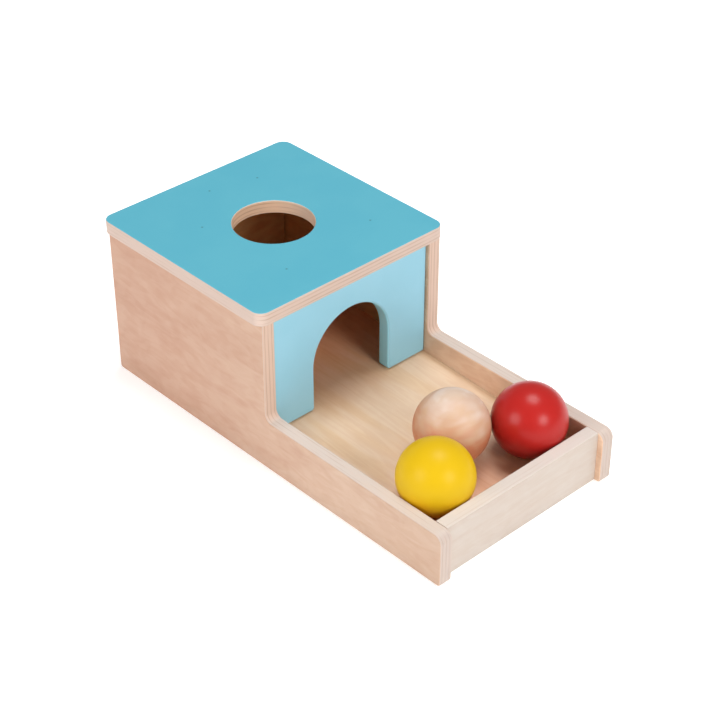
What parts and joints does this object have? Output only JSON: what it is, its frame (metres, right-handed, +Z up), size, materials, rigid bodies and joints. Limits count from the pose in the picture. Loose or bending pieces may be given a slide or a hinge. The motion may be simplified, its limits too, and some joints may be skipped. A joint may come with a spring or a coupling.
{
  "type": "object permanence box",
  "caption": "Plywood toy box with a round ball hole in its painted lid, a sloping floor that rolls balls out through an arched doorway, and an open tray that holds them.",
  "frame": {"origin": "on the ground, under the middle of the whole object's bounding box", "axes": "+Z up; -Y towards the tray's open front, where the balls come to rest; +X to the right seen from the front"},
  "size_m": [0.145, 0.286, 0.108],
  "materials": {
    "side_plywood": "clear satin lacquer on veneer, bare ply edges",
    "rail_plywood": "clear satin lacquer on pale veneer",
    "floor_plywood": "clear satin lacquer, grain along the slope",
    "lid_paint": "satin turquoise paint on the top face, bare ply edges",
    "arch_paint": "satin pale blue paint all over",
    "yellow_lacquer": "gloss yellow lacquer on turned wood",
    "red_lacquer": "gloss red lacquer on turned wood",
    "natural_wood": "smooth turned wood, clear matt finish",
    "dowel_wood": "plain turned dowel"
  },
  "bodies": {
    "box": {"left_side_panel": "side_plywood", "right_side_panel": "side_plywood", "lid_panel": "lid_paint", "arch_panel": "arch_paint", "back_panel": "side_plywood", "floor_panel": "floor_plywood", "front_rail": "rail_plywood", "lid_dowels": "dowel_wood", "arch_dowels": "dowel_wood", "back_dowels": "dowel_wood", "rail_dowels": "dowel_wood"},
    "yellow_ball": {"yellow_ball": "yellow_lacquer"},
    "red_ball": {"red_ball": "red_lacquer"},
    "natural_ball": {"natural_ball": "natural_wood"}
  },
  "joints": [
    {"name": "natural_ball_roll", "type": "slide", "parent": "box", "child": "natural_ball", "axis": [0, 0.999, 0.0436], "range_m": [0, 0.152]},
    {"name": "yellow_ball_lift", "type": "slide", "parent": "box", "child": "yellow_ball", "axis": [0, 0, 1], "range_m": [0, 0.1]},
    {"name": "red_ball_lift", "type": "slide", "parent": "box", "child": "red_ball", "axis": [0, 0, 1], "range_m": [0, 0.1]}
  ]
}
